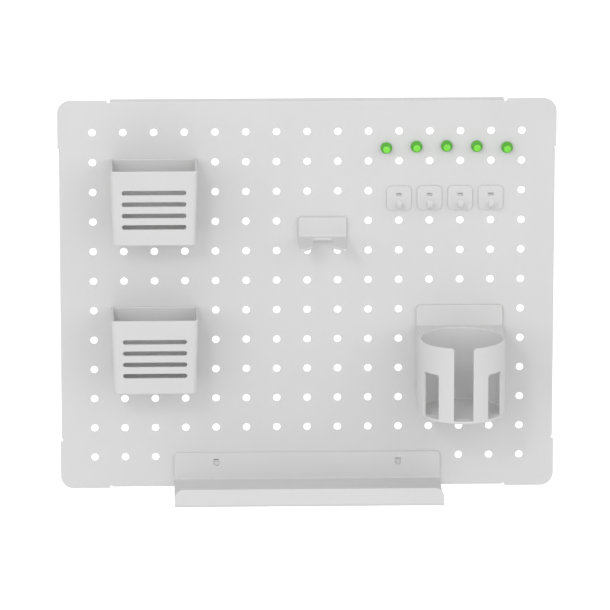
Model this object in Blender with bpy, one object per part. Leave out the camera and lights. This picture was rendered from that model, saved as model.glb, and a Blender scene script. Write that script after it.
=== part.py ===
"""Pegboard tool wall: a flanged, perforated steel panel with hook-on accessories and magnets.

Metres, +Z up. The front faces -Y and the wall is the plane y = 0. The origin is the middle of the
top flange's rear edge. Every accessory hangs in the peg holes on tabs that reach behind the panel.
"""

import math

import bmesh
import bpy
from mathutils import Matrix, Vector

# Peg grid
PITCH = 0.0254
COLUMNS = 15
ROWS = 12
HOLE_DIAMETER = 0.00635
HOLE_SIDES = 8

# Panel
PANEL_WIDTH = 0.4132
PANEL_HEIGHT = 0.3339
SHEET = 0.001
FLANGE_DEPTH = 0.010
FLANGE_INSET = 0.0011
CORNER_RADIUS = 0.011
CORNER_FLAT = 0.041
NOTCH_WIDTH = 0.0026
NOTCH_DEPTH = 0.0022

# Hook tabs, shared by every accessory
GAP = 0.0003
TAB_WIDTH = 0.0036
TAB_THICKNESS = 0.001
TAB_LEG = 0.0025
TAB_DROP = 0.0019
PLATE_ABOVE_ROW = 0.0036
OVERLAP = 0.0006

# How far a cutter runs past the surface it cuts
CLEAR = 0.003

# Bins
BIN_WIDTH = 0.072
BIN_BASE_WIDTH = 0.068
BIN_DEPTH = 0.047
BIN_BASE_DEPTH = 0.045
BIN_HEIGHT = 0.0635
BIN_WALL = 0.002
BIN_CORNER = 0.004
BIN_BACK_CORNER = 0.001
BIN_SLOTS = 4
BIN_SLOT_LENGTH = 0.053
BIN_SLOT_HEIGHT = 0.00375
BIN_SLOT_PITCH = 0.00975
BIN_FIRST_SLOT = 0.0183

# Tool holder
FORK_PLATE_WIDTH = 0.040
FORK_PLATE_HEIGHT = 0.0165
FORK_PLATE = 0.0025
FORK_PLATE_CORNER = 0.002
FORK_ARM = 0.0025
FORK_REACH = 0.0435
FORK_TIP_RADIUS = 0.003
FORK_NOTCH_HALF = 0.0083
FORK_NOTCH_CORNER = 0.005
FORK_NOTCH_START = 0.0065
FORK_FLARE_START = 0.0325
FORK_FLARE = 0.0008
FORK_FILLET = 0.002
FORK_FILLET_INSET = 0.0002

# Small hooks
SMALL_PLATE = 0.0203
SMALL_PLATE_SHEET = 0.001
SMALL_PLATE_CORNER = 0.00375
SMALL_ABOVE_ROW = 0.0041
J_WIDTH = 0.0038
J_RADIUS = 0.0055
J_START = 0.0080
J_RISE = 0.0024

# Windows left in a stamped plate where its tab was lanced out
LANCE_WIDTH = 0.0046
SMALL_LANCE_END = 0.0041
SHELF_LANCE_END = 0.0080

# Cup holder
CUP_DIAMETER = 0.072
CUP_WALL = 0.002
CUP_HEIGHT = 0.0645
CUP_AXIS = 0.045
CUP_FLOOR = 0.0025
CUP_PLATE_HEIGHT = 0.0165
CUP_PLATE = 0.0025
CUP_PLATE_FOOT = 0.010
CUP_PLATE_LOWER_CORNER = 0.006
CUP_PLATE_UPPER_CORNER = 0.004
CUP_SLOT_WIDTH = 0.0165
CUP_SLOT_MOUTH = 0.0025
CUP_WINDOW_FROM = 35.0
CUP_WINDOW_TO = 63.0
CUP_WINDOW_TOP = 0.024
CUP_DECK_DROP = 0.001
CUP_DECK = 0.0025
CUP_DECK_STOP = 0.001
CUP_CHEEK_FOOT = 0.004
CUP_CHEEK_STOP = 0.0012
CUP_SEGMENTS = 48

# Shelf
SHELF_WIDTH = 0.223
SHELF_PLATE = 0.0244
SHELF_REACH = 0.079
SHELF_LIP = 0.0155
SHELF_SHEET = 0.0012
SHELF_LIP_CORNER = 0.0075
SHELF_PLATE_CORNER = 0.004

# Magnets
KNOB_DIAMETER = 0.0098
KNOB_WAIST = 0.0054
KNOB_HEAD = 0.0066
KNOB_HEIGHT = 0.008
KNOB_FOOT_HEIGHT = 0.0026
KNOB_WAIST_FROM = 0.0040
KNOB_WAIST_TO = 0.0046
KNOB_HEAD_FROM = 0.0056
KNOB_EDGE = 0.0011
MAGNET_DIAMETER = 0.0074
MAGNET_THICKNESS = 0.002
KNOB_SEGMENTS = 20
MAGNETS = 5
MAGNET_COLUMN = 11.55
MAGNET_ROW = 0.5
MAGNET_SPACING = 0.025
MAGNET_BOW = 0.00035

WALL_Y = 0.0
PANEL_FRONT = WALL_Y - FLANGE_DEPTH
PANEL_BACK = PANEL_FRONT + SHEET
PLATE_BACK = PANEL_FRONT - GAP
PANEL_TOP = FLANGE_INSET + SHEET / 2
PANEL_CENTRE_Z = PANEL_TOP - PANEL_HEIGHT / 2

# Material: name, colour, roughness, metallic
FINISHES = {
    "powder_coat": ((0.82, 0.82, 0.82), 0.5, 0.0),
    "white_moulding": ((0.80, 0.80, 0.80), 0.42, 0.0),
    "green_plastic": ((0.16, 0.52, 0.07), 0.28, 0.0),
    "nickel": ((0.66, 0.65, 0.62), 0.25, 1.0),
}


def finish(name):
    """One Principled material for each kind of surface."""
    found = bpy.data.materials.get(name)
    if found:
        return found
    colour, roughness, metallic = FINISHES[name]
    material = bpy.data.materials.new(name)
    material.use_nodes = True
    shader = material.node_tree.nodes["Principled BSDF"]
    shader.inputs["Base Color"].default_value = (*colour, 1.0)
    shader.inputs["Roughness"].default_value = roughness
    shader.inputs["Metallic"].default_value = metallic
    material.diffuse_color = (*colour, 1.0)
    return material


def column_x(column):
    """X of a column of holes; column 0 is the leftmost."""
    return (column - (COLUMNS - 1) / 2) * PITCH


def row_z(row):
    """Z of a row of holes; row 0 is the top one."""
    return PANEL_CENTRE_Z + ((ROWS - 1) / 2 - row) * PITCH


def new_object(name, mesh, material, cutter=False):
    """Puts a mesh in the scene as a named object, or as a hidden cutter."""
    made = bpy.data.objects.new(name, mesh)
    bpy.context.scene.collection.objects.link(made)
    if cutter:
        made.hide_render = True
        made.display_type = "WIRE"
    else:
        mesh.materials.append(finish(material))
        mesh.shade_smooth()
        mesh.set_sharp_from_angle(angle=math.radians(35))
    return made


def mesh_from(bm, name):
    """Turns a bmesh into a mesh with its faces pointing out."""
    bmesh.ops.recalc_face_normals(bm, faces=bm.faces)
    mesh = bpy.data.meshes.new(name)
    bm.to_mesh(mesh)
    bm.free()
    return mesh


def arc(centre, radius, start, end, steps):
    """Points on an arc in a plane, angles in degrees, both ends included."""
    points = []
    for step in range(steps + 1):
        angle = math.radians(start + (end - start) * step / steps)
        points.append((centre[0] + radius * math.cos(angle), centre[1] + radius * math.sin(angle)))
    return points


def rounded_rectangle(left, right, low, high, radii, steps=5):
    """Outline of a rectangle, anticlockwise from the lower left; radii start at the lower left."""
    corners = [
        (left, low, 1, 1, 180), (right, low, -1, 1, 270),
        (right, high, -1, -1, 0), (left, high, 1, -1, 90),
    ]
    outline = []
    for (x, y, dx, dy, start), radius in zip(corners, radii):
        if radius == 0:
            outline.append((x, y))
        else:
            outline += arc((x + dx * radius, y + dy * radius), radius, start, start + 90, steps)
    return outline


def prism(bm, outline, place, low, high):
    """Extrudes an outline between two depths; place turns (u, v, depth) into a point."""
    rings = []
    for depth in (low, high):
        rings.append([bm.verts.new(place(u, v, depth)) for u, v in outline])
    bm.faces.new(rings[0])
    bm.faces.new(list(reversed(rings[1])))
    count = len(outline)
    for index in range(count):
        after = (index + 1) % count
        bm.faces.new((rings[0][after], rings[0][index], rings[1][index], rings[1][after]))


def facing_front(u, v, depth):
    """u across, v up, depth along Y."""
    return Vector((u, depth, v))


def lying_flat(u, v, depth):
    """u across, v along Y, depth up."""
    return Vector((u, v, depth))


def seen_from_side(u, v, depth):
    """u along Y, v up, depth across."""
    return Vector((depth, u, v))


def block(bm, low, high):
    """A box between two corners."""
    outline = [(low[0], low[2]), (high[0], low[2]), (high[0], high[2]), (low[0], high[2])]
    prism(bm, outline, facing_front, low[1], high[1])


def boolean(target, tool, operation):
    """Joins or cuts with the exact solver, then bakes the result and drops the tool."""
    modifier = target.modifiers.new(operation.lower(), "BOOLEAN")
    modifier.operation = operation
    modifier.solver = "EXACT"
    modifier.object = tool
    depsgraph = bpy.context.evaluated_depsgraph_get()
    result = bpy.data.meshes.new_from_object(target.evaluated_get(depsgraph))
    target.modifiers.clear()
    target.data = result
    tool_mesh = tool.data
    bpy.data.objects.remove(tool)
    bpy.data.meshes.remove(tool_mesh)


def apply_tool(target, operation, draw):
    """Draws a solid into a fresh bmesh and uses it on the target."""
    bm = bmesh.new()
    draw(bm)
    tool = new_object("tool", mesh_from(bm, "tool"), None, cutter=True)
    boolean(target, tool, operation)


def tidy(target):
    """Smooth shading with crisp edges after the cuts."""
    target.data.shade_smooth()
    target.data.set_sharp_from_angle(angle=math.radians(35))


def draw_tab(bm, x, hole_z, inner_y):
    """A hook tab: a neck along the hole's lower side and a leg down behind the panel."""
    top = hole_z - TAB_DROP + TAB_THICKNESS
    neck_low = hole_z - TAB_DROP
    leg_front = PANEL_BACK + GAP
    leg_back = leg_front + TAB_THICKNESS
    leg_low = neck_low - TAB_LEG
    side = [
        (inner_y, neck_low), (leg_front, neck_low), (leg_front, leg_low),
        (leg_back, leg_low), (leg_back, top), (inner_y, top),
    ]
    prism(bm, side, seen_from_side, x - TAB_WIDTH / 2, x + TAB_WIDTH / 2)


def draw_lance(bm, x, hole_z, end_drop):
    """The window below a lanced tab, square at the bend and round at its lower end."""
    half = LANCE_WIDTH / 2
    low = hole_z - end_drop
    high = hole_z - TAB_DROP
    outline = rounded_rectangle(x - half, x + half, low, high, (half * 0.8, half * 0.8, 0, 0), 3)
    prism(bm, outline, facing_front, PLATE_BACK - CLEAR, PLATE_BACK + CLEAR)


def add_tabs(target, columns, row, plate_thickness, lance_end=None):
    """Joins a tab to the back of a plate for each column that it hooks in."""
    for column in columns:
        if lance_end:
            window = (column_x(column), row_z(row), lance_end)
            apply_tool(target, "DIFFERENCE", lambda bm: draw_lance(bm, *window))
        x = column_x(column)
        z = row_z(row)
        inner = PLATE_BACK - min(OVERLAP, plate_thickness / 2)
        apply_tool(target, "UNION", lambda bm: draw_tab(bm, x, z, inner))


# ---------------------------------------------------------------- panel

def panel_outline():
    """Flat blank with round corners and a relief notch beside each flange, anticlockwise."""
    half_w = PANEL_WIDTH / 2
    half_h = PANEL_HEIGHT / 2
    bend_w = half_w - CORNER_FLAT
    bend_h = half_h - CORNER_FLAT
    inset = FLANGE_INSET
    depth = NOTCH_DEPTH
    corner = []
    corner += [(half_w - inset, bend_h - NOTCH_WIDTH), (half_w - depth, bend_h - NOTCH_WIDTH)]
    corner += [(half_w - depth, bend_h), (half_w, bend_h)]
    corner += arc((half_w - CORNER_RADIUS, half_h - CORNER_RADIUS), CORNER_RADIUS, 0, 90, 6)
    corner += [(bend_w, half_h), (bend_w, half_h - depth)]
    corner += [(bend_w - NOTCH_WIDTH, half_h - depth), (bend_w - NOTCH_WIDTH, half_h - inset)]
    outline = list(corner)
    outline += [(-x, z) for x, z in reversed(corner)]
    outline += [(-x, -z) for x, z in corner]
    outline += [(x, -z) for x, z in reversed(corner)]
    return [(x, z + PANEL_CENTRE_Z) for x, z in outline]


def draw_flange(bm, across, along_low, along_high, outer):
    """A flange bent back to the wall; across is 0 for one that runs along X and 1 along Z."""
    low = [0.0, PANEL_FRONT, 0.0]
    high = [0.0, WALL_Y, 0.0]
    along, other = (0, 2) if across == 0 else (2, 0)
    low[along], high[along] = along_low, along_high
    low[other], high[other] = outer
    block(bm, low, high)


def peg_holes(bm):
    """One prism per hole, with a flat at its lowest point."""
    outline = []
    for side in range(HOLE_SIDES):
        angle = 2 * math.pi * (side + 0.5) / HOLE_SIDES
        outline.append((HOLE_DIAMETER / 2 * math.cos(angle), HOLE_DIAMETER / 2 * math.sin(angle)))
    for row in range(ROWS):
        for column in range(COLUMNS):
            hole = [(column_x(column) + x, row_z(row) + z) for x, z in outline]
            prism(bm, hole, facing_front, PANEL_FRONT - SHEET, PANEL_BACK + SHEET)


def make_panel():
    """The sheet, its four bent flanges and its peg holes."""
    bm = bmesh.new()
    prism(bm, panel_outline(), facing_front, PANEL_FRONT, PANEL_BACK)
    panel = new_object("panel", mesh_from(bm, "panel"), "powder_coat")
    run_x = PANEL_WIDTH / 2 - CORNER_FLAT - NOTCH_WIDTH
    run_z = PANEL_HEIGHT / 2 - CORNER_FLAT - NOTCH_WIDTH
    edge_x = PANEL_WIDTH / 2 - FLANGE_INSET
    edge_z = PANEL_HEIGHT / 2 - FLANGE_INSET
    top = (PANEL_CENTRE_Z + edge_z - SHEET, PANEL_CENTRE_Z + edge_z)
    bottom = (PANEL_CENTRE_Z - edge_z, PANEL_CENTRE_Z - edge_z + SHEET)
    for outer in (top, bottom):
        apply_tool(panel, "UNION", lambda bm: draw_flange(bm, 0, -run_x, run_x, outer))
    low_z = PANEL_CENTRE_Z - run_z
    high_z = PANEL_CENTRE_Z + run_z
    for outer in ((-edge_x, -edge_x + SHEET), (edge_x - SHEET, edge_x)):
        apply_tool(panel, "UNION", lambda bm: draw_flange(bm, 1, low_z, high_z, outer))
    apply_tool(panel, "DIFFERENCE", peg_holes)
    tidy(panel)


# ---------------------------------------------------------------- bins

def loft(bm, rings):
    """Closes a stack of equal rings into a solid: side faces between them and a cap at each end."""
    loops = [[bm.verts.new(point) for point in ring] for ring in rings]
    for lower, upper in zip(loops, loops[1:]):
        for index in range(len(lower)):
            after = (index + 1) % len(lower)
            bm.faces.new((lower[index], lower[after], upper[after], upper[index]))
    bm.faces.new(list(reversed(loops[0])))
    bm.faces.new(loops[-1])


def bin_ring(x, z, height_share, inset):
    """Rounded outline of the bin at a height between base (0) and rim (1)."""
    half = (BIN_BASE_WIDTH + (BIN_WIDTH - BIN_BASE_WIDTH) * height_share) / 2 - inset
    depth = BIN_BASE_DEPTH + (BIN_DEPTH - BIN_BASE_DEPTH) * height_share
    front = PLATE_BACK - depth + inset
    back = PLATE_BACK - inset
    radius = BIN_CORNER - inset
    radii = (radius, radius, BIN_BACK_CORNER, BIN_BACK_CORNER)
    outline = rounded_rectangle(x - half, x + half, front, back, radii, 4)
    return [(u, v, z) for u, v in outline]


def slot_outline(x, z, length, height, steps=4):
    """A horizontal slot with round ends."""
    radius = height / 2
    reach = length / 2 - radius
    return arc((x + reach, z), radius, -90, 90, steps) + arc((x - reach, z), radius, 90, 270, steps)


def make_bin(name, column, row):
    """A tapered bin with slots in its front, hooked a column either side of its middle."""
    x = column_x(column)
    rim = row_z(row) + PLATE_ABOVE_ROW
    base = rim - BIN_HEIGHT
    floor = base + BIN_WALL
    bm = bmesh.new()
    loft(bm, [
        bin_ring(x, base, 0, 0), bin_ring(x, rim, 1, 0),
        bin_ring(x, rim, 1, BIN_WALL), bin_ring(x, floor, BIN_WALL / BIN_HEIGHT, BIN_WALL),
    ])
    made = new_object(name, mesh_from(bm, name), "white_moulding")

    def slots(bm):
        front = PLATE_BACK - BIN_DEPTH
        for number in range(BIN_SLOTS):
            z = rim - BIN_FIRST_SLOT - number * BIN_SLOT_PITCH
            outline = slot_outline(x, z, BIN_SLOT_LENGTH, BIN_SLOT_HEIGHT)
            prism(bm, outline, facing_front, front - CLEAR, front + BIN_WALL + CLEAR)

    apply_tool(made, "DIFFERENCE", slots)
    add_tabs(made, (column - 1, column + 1), row, BIN_WALL)
    tidy(made)


# ---------------------------------------------------------------- tool holder

def fork_outline(x):
    """Two prongs round a U notch whose mouth flares open, seen from above, Y towards the wall."""
    half = FORK_PLATE_WIDTH / 2
    tip = PLATE_BACK - FORK_REACH
    radius = FORK_TIP_RADIUS
    flare = PLATE_BACK - FORK_FLARE_START
    corner_x = FORK_NOTCH_HALF - FORK_NOTCH_CORNER
    corner_y = PLATE_BACK - FORK_NOTCH_START - FORK_NOTCH_CORNER
    right = [
        (half, PLATE_BACK), (half, tip + 1.5 * radius),
        *arc((half - radius, tip + radius), radius, 0, -100, 4),
        (FORK_NOTCH_HALF + FORK_FLARE, flare - 1.5 * FORK_FLARE), (FORK_NOTCH_HALF, flare),
        *arc((corner_x, corner_y), FORK_NOTCH_CORNER, 0, 90, 6),
    ]
    outline = right + [(-u, v) for u, v in reversed(right)]
    return [(x + u, v) for u, v in outline]


def make_tool_holder(column, row):
    """Back plate with a fork that reaches forward, hooked in the columns either side."""
    x = column_x(column)
    top = row_z(row) + PLATE_ABOVE_ROW
    low = top - FORK_PLATE_HEIGHT - FORK_ARM
    half = FORK_PLATE_WIDTH / 2
    plate_front = PLATE_BACK - FORK_PLATE
    bm = bmesh.new()
    radii = (0, 0, FORK_PLATE_CORNER, FORK_PLATE_CORNER)
    outline = rounded_rectangle(x - half, x + half, low, top, radii, 3)
    prism(bm, outline, facing_front, plate_front, PLATE_BACK)
    made = new_object("tool_holder", mesh_from(bm, "tool_holder"), "white_moulding")
    apply_tool(made, "UNION", lambda bm: prism(bm, fork_outline(x), lying_flat, low, low + FORK_ARM))
    sides = (x - half + FORK_FILLET_INSET, x + half - FORK_FILLET_INSET)

    def draw_fillet(bm):
        front = plate_front - FORK_FILLET
        arm_top = low + FORK_ARM
        side = arc((front, arm_top + FORK_FILLET), FORK_FILLET, 0, -90, 4)
        side += [(front, low + FORK_ARM / 2), (plate_front + OVERLAP, low + FORK_ARM / 2)]
        side += [(plate_front + OVERLAP, arm_top + FORK_FILLET)]
        prism(bm, side, seen_from_side, *sides)

    apply_tool(made, "UNION", draw_fillet)
    add_tabs(made, (column - 0.5, column + 0.5), row, FORK_PLATE)
    tidy(made)


# ---------------------------------------------------------------- small hooks

def j_profile(plate_front, start_z):
    """Side view of the J: an arc that leaves the plate, dips and rises to a round tip."""
    centre = (plate_front - J_RADIUS, start_z)
    outer = J_RADIUS + SMALL_PLATE_SHEET / 2
    inner = J_RADIUS - SMALL_PLATE_SHEET / 2
    tip_z = start_z + J_RISE
    side = [(centre[0] + outer, start_z)]
    side += arc(centre, outer, 0, -180, 10)[1:]
    side += arc((centre[0] - J_RADIUS, tip_z), SMALL_PLATE_SHEET / 2, 180, 0, 4)
    side += arc(centre, inner, -180, 0, 10)
    return side


def make_small_hook(number, column, row):
    """A rounded square plate with a J hook in front and one tab behind."""
    x = column_x(column)
    top = row_z(row) + SMALL_ABOVE_ROW
    half = SMALL_PLATE / 2
    front = PLATE_BACK - SMALL_PLATE_SHEET
    name = f"small_hook_{number}"
    bm = bmesh.new()
    outline = rounded_rectangle(x - half, x + half, top - SMALL_PLATE, top, (SMALL_PLATE_CORNER,) * 4, 4)
    prism(bm, outline, facing_front, front, PLATE_BACK)
    made = new_object(name, mesh_from(bm, name), "powder_coat")
    side = j_profile(front + SMALL_PLATE_SHEET / 2, row_z(row) - J_START)
    sides = (x - J_WIDTH / 2, x + J_WIDTH / 2)
    apply_tool(made, "UNION", lambda bm: prism(bm, side, seen_from_side, *sides))
    add_tabs(made, (column,), row, SMALL_PLATE_SHEET, SMALL_LANCE_END)
    tidy(made)


# ---------------------------------------------------------------- cup holder

def ring_at(x, y, radius, z, segments=CUP_SEGMENTS):
    """A circle of points at a height."""
    points = []
    for step in range(segments):
        angle = 2 * math.pi * (step + 0.5) / segments
        points.append((x + radius * math.cos(angle), y + radius * math.sin(angle), z))
    return points


def wedge(x, y, from_angle, to_angle, near, far, steps=4):
    """Plan outline of a slice of a ring; angles in degrees from the front, positive to +X."""
    outer = arc((x, y), far, from_angle - 90, to_angle - 90, steps)
    inner = arc((x, y), near, to_angle - 90, from_angle - 90, steps)
    return outer + inner


def make_cup_holder(column, row):
    """A round cup on a back plate, open at the top, with a front slot and two windows."""
    x = column_x(column)
    top = row_z(row) + PLATE_ABOVE_ROW
    rim = top - CUP_PLATE_HEIGHT
    base = rim - CUP_HEIGHT
    floor = base + CUP_FLOOR
    outer = CUP_DIAMETER / 2
    inner = outer - CUP_WALL
    axis_y = PLATE_BACK - CUP_AXIS
    plate_front = PLATE_BACK - CUP_PLATE
    bm = bmesh.new()
    loft(bm, [ring_at(x, axis_y, outer, base), ring_at(x, axis_y, outer, rim)])
    made = new_object("cup_holder", mesh_from(bm, "cup_holder"), "white_moulding")

    def draw_plate(bm):
        radii = (CUP_PLATE_LOWER_CORNER,) * 2 + (CUP_PLATE_UPPER_CORNER,) * 2
        outline = rounded_rectangle(x - outer, x + outer, base + CUP_PLATE_FOOT, top, radii, 4)
        prism(bm, outline, facing_front, plate_front, PLATE_BACK)

    apply_tool(made, "UNION", draw_plate)
    cheek = outer - GAP
    deck_top = rim - CUP_DECK_DROP

    def draw_deck(bm):
        low = (x - cheek, axis_y + CUP_WALL, deck_top - CUP_DECK)
        high = (x + cheek, PLATE_BACK - CUP_DECK_STOP, deck_top)
        block(bm, low, high)

    apply_tool(made, "UNION", draw_deck)
    for left in (x - cheek, x + cheek - CUP_WALL):
        low = (left, axis_y, base + CUP_CHEEK_FOOT)
        high = (left + CUP_WALL, PLATE_BACK - CUP_CHEEK_STOP, deck_top - CUP_DECK / 2)
        apply_tool(made, "UNION", lambda bm: block(bm, low, high))
    apply_tool(made, "DIFFERENCE", lambda bm: loft(bm, [
        ring_at(x, axis_y, inner, floor), ring_at(x, axis_y, inner, rim + CLEAR),
    ]))
    half = CUP_SLOT_WIDTH / 2
    far = outer + CLEAR

    def draw_front_slot(bm):
        mouth = CUP_SLOT_MOUTH
        outline = [(x - half, floor), (x + half, floor), (x + half, rim - mouth)]
        outline += arc((x + half + mouth, rim - mouth), mouth, 180, 90, 4)[1:]
        outline += [(x + half + mouth, rim + CLEAR), (x - half - mouth, rim + CLEAR)]
        outline += arc((x - half - mouth, rim - mouth), mouth, 90, 0, 4)
        prism(bm, outline, facing_front, axis_y - far, axis_y - inner * 0.8)

    apply_tool(made, "DIFFERENCE", draw_front_slot)
    for side in (-1, 1):
        slice_plan = wedge(x, axis_y, side * CUP_WINDOW_FROM, side * CUP_WINDOW_TO, inner - CLEAR, far)
        span = (floor, rim - CUP_WINDOW_TOP)
        apply_tool(made, "DIFFERENCE", lambda bm: prism(bm, slice_plan, lying_flat, *span))
    add_tabs(made, (column - 1, column + 1), row, CUP_PLATE)
    tidy(made)


# ---------------------------------------------------------------- shelf

def shelf_section(fold_z):
    """Side view of the bent strip: floor, front lip and back plate as one bend line."""
    front = PLATE_BACK - SHELF_REACH
    sheet = SHELF_SHEET
    back = PLATE_BACK
    return [
        (back, fold_z), (back, fold_z + SHELF_PLATE), (back - sheet, fold_z + SHELF_PLATE),
        (back - sheet, fold_z + sheet), (front + sheet, fold_z + sheet),
        (front + sheet, fold_z + SHELF_LIP), (front, fold_z + SHELF_LIP), (front, fold_z),
    ]


def trim_corner(bm, x, z, side, radius, near, far):
    """What is left outside a rounded upper corner, as a cutter through the sheet."""
    out = side * CLEAR
    outline = [(x + out, z + CLEAR), (x - side * radius, z + CLEAR)]
    outline += arc((x - side * radius, z - radius), radius, 90, 90 - side * 90, 5)
    outline += [(x + out, z - radius)]
    prism(bm, outline, facing_front, near, far)


def make_shelf(row, columns):
    """A bent steel strip with round upper corners, hooked in two columns."""
    top = row_z(row) + PLATE_ABOVE_ROW
    fold = top - SHELF_PLATE
    half = SHELF_WIDTH / 2
    bm = bmesh.new()
    prism(bm, shelf_section(fold), seen_from_side, -half, half)
    made = new_object("shelf", mesh_from(bm, "shelf"), "powder_coat")
    front = PLATE_BACK - SHELF_REACH
    lip_top = fold + SHELF_LIP
    for side in (-1, 1):
        x = side * half
        apply_tool(made, "DIFFERENCE", lambda bm: trim_corner(
            bm, x, top, side, SHELF_PLATE_CORNER, PLATE_BACK - CLEAR, PLATE_BACK + CLEAR))
        apply_tool(made, "DIFFERENCE", lambda bm: trim_corner(
            bm, x, lip_top, side, SHELF_LIP_CORNER, front - CLEAR, front + CLEAR))
    add_tabs(made, columns, row, SHELF_SHEET, SHELF_LANCE_END)
    tidy(made)


# ---------------------------------------------------------------- magnets

def make_magnet(number, x, z):
    """A push-pin shaped knob, hollow underneath, with a disc magnet in its foot."""
    foot = PANEL_FRONT - GAP
    radius = KNOB_DIAMETER / 2
    waist = KNOB_WAIST / 2
    head = KNOB_HEAD / 2
    tip = foot - KNOB_HEIGHT
    recess = MAGNET_DIAMETER / 2 + GAP
    roof = foot - MAGNET_THICKNESS - GAP
    turn = Matrix.Translation((x, 0, z)) @ Matrix.Rotation(math.radians(-90), 4, "X")

    def turned(stations):
        rings = []
        for y, size in stations:
            rings.append([turn @ Vector(p) for p in ring_at(0, 0, size, y, KNOB_SEGMENTS)])
        bm = bmesh.new()
        loft(bm, rings)
        return bm

    knob = turned([
        (roof, recess), (foot, recess), (foot, radius), (foot - KNOB_FOOT_HEIGHT, radius),
        (foot - KNOB_WAIST_FROM, waist), (foot - KNOB_WAIST_TO, waist), (foot - KNOB_HEAD_FROM, head),
        (tip + KNOB_EDGE, head), (tip, head - KNOB_EDGE),
    ])
    name = f"magnet_knob_{number}"
    new_object(name, mesh_from(knob, name), "green_plastic")
    disc = turned([(foot - MAGNET_THICKNESS, recess - GAP), (foot, recess - GAP)])
    name = f"magnet_disc_{number}"
    new_object(name, mesh_from(disc, name), "nickel")


def main():
    for old in list(bpy.data.objects):
        bpy.data.objects.remove(old)
    make_panel()
    make_bin("upper_bin", 2, 1)
    make_bin("lower_bin", 2, 6)
    make_tool_holder(7.5, 3)
    for number in range(4):
        make_small_hook(number + 1, 10 + number, 2)
    make_cup_holder(12, 6)
    make_shelf(11, (4, 10))
    for number in range(MAGNETS):
        spread = number - (MAGNETS - 1) / 2
        x = column_x(MAGNET_COLUMN) + spread * MAGNET_SPACING
        z = row_z(MAGNET_ROW) - MAGNET_BOW * spread * spread
        make_magnet(number + 1, x, z)


main()
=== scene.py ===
import math

import bmesh
import bpy
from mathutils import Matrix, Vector


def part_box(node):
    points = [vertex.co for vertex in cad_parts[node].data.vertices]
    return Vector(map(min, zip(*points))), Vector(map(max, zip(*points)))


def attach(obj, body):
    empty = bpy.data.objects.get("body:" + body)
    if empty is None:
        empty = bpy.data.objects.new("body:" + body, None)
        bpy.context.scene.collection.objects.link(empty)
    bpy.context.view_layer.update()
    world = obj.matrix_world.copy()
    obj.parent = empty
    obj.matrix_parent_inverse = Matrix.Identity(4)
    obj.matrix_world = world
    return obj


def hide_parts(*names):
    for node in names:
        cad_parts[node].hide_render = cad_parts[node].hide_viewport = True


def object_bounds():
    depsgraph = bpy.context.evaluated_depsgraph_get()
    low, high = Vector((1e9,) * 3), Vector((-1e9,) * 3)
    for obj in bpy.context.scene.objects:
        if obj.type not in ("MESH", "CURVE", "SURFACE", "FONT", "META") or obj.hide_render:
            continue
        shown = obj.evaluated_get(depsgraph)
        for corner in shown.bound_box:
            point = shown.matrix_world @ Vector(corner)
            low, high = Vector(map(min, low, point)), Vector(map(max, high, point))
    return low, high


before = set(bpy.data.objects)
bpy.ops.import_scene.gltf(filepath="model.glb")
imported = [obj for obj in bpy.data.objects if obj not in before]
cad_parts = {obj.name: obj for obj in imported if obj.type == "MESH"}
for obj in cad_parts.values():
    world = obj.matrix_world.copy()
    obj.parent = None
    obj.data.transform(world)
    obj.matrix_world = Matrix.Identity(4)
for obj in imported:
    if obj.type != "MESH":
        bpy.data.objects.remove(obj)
cad_low, cad_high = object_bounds()

MM = 0.001

# The peg grid and the sheet, as the CAD has them
PITCH = 25.4 * MM
COLUMNS = 15
ROWS = 12
HOLE_RADIUS = 3.175 * MM
HOLE_SIDES = 36
SHEET = 1.0 * MM
FLANGE_INSET = 1.1 * MM
CORNER_RADIUS = 11 * MM
CORNER_FLAT = 41 * MM
NOTCH_WIDTH = 2.6 * MM
NOTCH_DEPTH = 2.2 * MM
FLAP_CORNER = 0.6 * MM
BEND_RADIUS = 1.05 * MM
BEND_STEPS = 6
SHEET_EDGE = 0.18 * MM

# Hook tabs
GAP = 0.3 * MM
TAB_WIDTH = 3.6 * MM
TAB_THICKNESS = 1.0 * MM
TAB_DROP = 1.9 * MM
TAB_LEG = 2.5 * MM
TAB_EDGE = 0.15 * MM
TAB_TIP = 0.8 * MM
TAB_ROOT = 1.0 * MM

# How far a cutter runs past the face it cuts, and the turns of an eased edge in radians
CUT_SPARE = 1.0 * MM
EASE_TURNS = (0.4, 0.8, 1.2, 1.57)

panel_low, panel_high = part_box("panel")
GRID_X = (panel_low[0] + panel_high[0]) / 2
GRID_Z = (panel_low[2] + panel_high[2]) / 2
PANEL_FRONT = panel_low[1]
PANEL_BACK = PANEL_FRONT + SHEET
WALL_Y = panel_high[1]
PLATE_BACK = PANEL_FRONT - GAP


def column_x(column):
    """X of a column of holes, counted from the left from 0."""
    return GRID_X + (column - (COLUMNS - 1) / 2) * PITCH


def row_z(row):
    """Z of a row of holes, counted from the top from 0."""
    return GRID_Z + ((ROWS - 1) / 2 - row) * PITCH


# ------------------------------------------------------------------ shapes

def arc(centre, radius, start, end, steps):
    """Points on an arc, angles in degrees, both ends included."""
    points = []
    for step in range(steps + 1):
        angle = math.radians(start + (end - start) * step / steps)
        points.append((centre[0] + radius * math.cos(angle), centre[1] + radius * math.sin(angle)))
    return points


def rounded_rectangle(left, right, low, high, radii, steps=8):
    """Anticlockwise outline from the lower left corner; one radius for each corner."""
    corners = [
        (left, low, 1, 1, 180), (right, low, -1, 1, 270),
        (right, high, -1, -1, 0), (left, high, 1, -1, 90),
    ]
    outline = []
    for (x, y, dx, dy, start), radius in zip(corners, radii):
        if radius <= 0:
            outline.append((x, y))
        else:
            outline += arc((x + dx * radius, y + dy * radius), radius, start, start + 90, steps)
    return outline


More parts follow.
